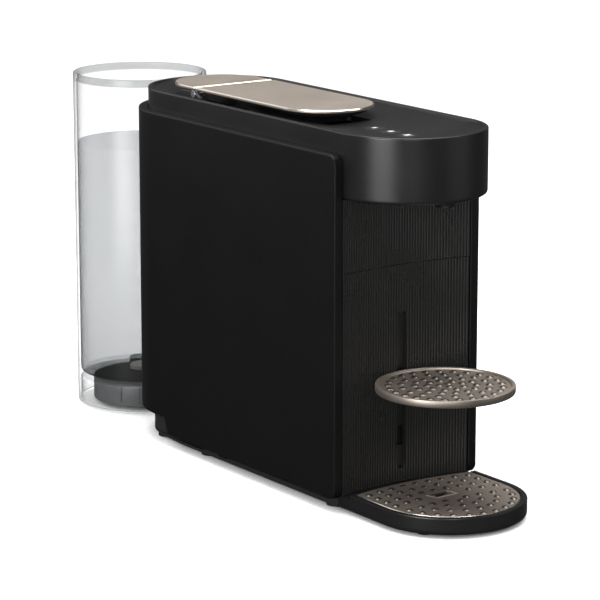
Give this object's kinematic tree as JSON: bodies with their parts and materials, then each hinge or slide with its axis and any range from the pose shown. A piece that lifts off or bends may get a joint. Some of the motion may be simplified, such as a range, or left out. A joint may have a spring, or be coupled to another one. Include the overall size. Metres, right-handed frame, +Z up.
{
  "type": "pod coffee machine",
  "caption": "Slim pod coffee machine with a lever, dished top with keys, ribbed hollow front, cup stand, drip tray and a clear water tank on a swivelling arm.",
  "frame": {"origin": "middle of the machine's footprint, on the surface it stands on", "axes": "+Z up, -Y out of the front where the cup stands, +X to the machine's right side as seen from the front"},
  "size_m": [0.13, 0.5202, 0.2803],
  "materials": {
    "body_black": "satin black moulded ABS",
    "ribbed_black": "fine ribbed black moulding",
    "inner_black": "plain black moulding",
    "champagne_metal": "brushed and lacquered, warm grey",
    "rubber_black": "matt",
    "tank_clear": "clear moulded copolyester",
    "arm_grey": "dark grey moulding",
    "steel": "zinc plated or plain steel",
    "cast_aluminium": "as cast",
    "natural_plastic": "natural acetal",
    "silicone": "translucent silicone hose",
    "circuit_board": "solder mask",
    "key_black": "satin black with a light printed cup sign"
  },
  "bodies": {
    "chassis": {"outer_shell": "body_black", "chassis_frame": "inner_black", "top_housing": "body_black", "head_floor": "inner_black", "upper_front_panel": "ribbed_black", "base_plate": "inner_black", "foot_1": "rubber_black", "foot_2": "rubber_black", "foot_3": "rubber_black", "foot_4": "rubber_black", "foot_5": "rubber_black", "foot_6": "rubber_black", "base_screw_1": "steel", "base_screw_2": "steel", "base_screw_3": "steel", "base_screw_4": "steel", "lever_rear_cover": "champagne_metal", "hinge_bracket_left": "arm_grey", "hinge_bracket_right": "arm_grey", "brew_frame": "arm_grey", "capsule_cage": "cast_aluminium", "coffee_funnel": "natural_plastic", "coffee_spout": "body_black", "coffee_duct": "silicone", "thermoblock": "cast_aluminium", "pump": "steel", "pump_mount_lower": "rubber_black", "pump_mount_upper": "rubber_black", "flow_meter": "natural_plastic", "main_board": "circuit_board", "control_board": "circuit_board", "pivot_seal": "rubber_black", "inlet_tube": "silicone", "suction_tube": "silicone", "pressure_tube": "silicone", "hot_water_tube": "silicone", "cord_gland": "rubber_black"},
    "lever": {"lever_plate": "champagne_metal", "lever_underside": "inner_black", "lever_hinge_pin": "steel", "lever_arm_left": "steel", "lever_arm_right": "steel"},
    "toggle_links": {"toggle_link_left": "steel", "toggle_link_right": "steel"},
    "extraction_carriage": {"extraction_plate": "steel"},
    "cup_button_1": {"cup_button_1": "key_black"},
    "cup_button_2": {"cup_button_2": "key_black"},
    "cup_button_3": {"cup_button_3": "key_black"},
    "drawer": {"drip_tray": "body_black", "lower_front_panel": "ribbed_black", "capsule_container": "inner_black", "tray_foot_left": "rubber_black", "tray_foot_right": "rubber_black"},
    "drip_grid": {"drip_grid": "champagne_metal"},
    "cup_stand": {"cup_support": "champagne_metal"},
    "tank_arm": {"tank_arm": "arm_grey", "dock_seal": "rubber_black", "dock_foot": "rubber_black"},
    "water_tank": {"water_tank": "tank_clear"},
    "tank_valve": {"tank_valve": "natural_plastic"}
  },
  "joints": [
    {"name": "lever_hinge", "type": "hinge", "parent": "chassis", "child": "lever", "pos_m": [0, 0.06575, 0.2764], "axis": [-1, 0, 0], "range_deg": [0, 85]},
    {"name": "toggle_link_pivot", "type": "hinge", "parent": "lever", "child": "toggle_links", "pos_m": [0, 0.06575, 0.2364], "axis": [-1, 0, 0], "range_deg": [-123, 0]},
    {"name": "extraction_slide", "type": "slide", "parent": "chassis", "child": "extraction_carriage", "axis": [0, -1, 0], "range_m": [0, 0.028]},
    {"name": "cup_button_1_press", "type": "slide", "parent": "chassis", "child": "cup_button_1", "axis": [0, 0, -1], "range_m": [0, 0.0012], "stiffness_N_per_m": 900, "springref_m": -0.0005},
    {"name": "cup_button_2_press", "type": "slide", "parent": "chassis", "child": "cup_button_2", "axis": [0, 0, -1], "range_m": [0, 0.0012], "stiffness_N_per_m": 900, "springref_m": -0.0005},
    {"name": "cup_button_3_press", "type": "slide", "parent": "chassis", "child": "cup_button_3", "axis": [0, 0, -1], "range_m": [0, 0.0012], "stiffness_N_per_m": 900, "springref_m": -0.0005},
    {"name": "drawer_slide", "type": "slide", "parent": "chassis", "child": "drawer", "axis": [0, -1, 0], "range_m": [0, 0.14]},
    {"name": "drip_grid_lift", "type": "slide", "parent": "drawer", "child": "drip_grid", "axis": [0, 0, 1], "range_m": [0, 0.03]},
    {"name": "cup_stand_height", "type": "slide", "parent": "drawer", "child": "cup_stand", "axis": [0, 0, -1], "range_m": [0, 0.043]},
    {"name": "tank_arm_swivel", "type": "hinge", "parent": "chassis", "child": "tank_arm", "pos_m": [0, 0.08575, 0.012], "axis": [0, 0, 1], "range_deg": [-85, 85]},
    {"name": "tank_lift", "type": "slide", "parent": "tank_arm", "child": "water_tank", "axis": [0, 0, 1], "range_m": [0, 0.12]},
    {"name": "tank_valve_slide", "type": "slide", "parent": "water_tank", "child": "tank_valve", "axis": [0, 0, 1], "range_m": [0, 0.003], "stiffness_N_per_m": 150, "springref_m": -0.0005}
  ],
  "couplings": [
    {"joint": "toggle_link_pivot", "follows": "lever_hinge", "ratio": -1.4412},
    {"joint": "extraction_slide", "follows": "lever_hinge", "m_per_rad": 0.01854}
  ]
}
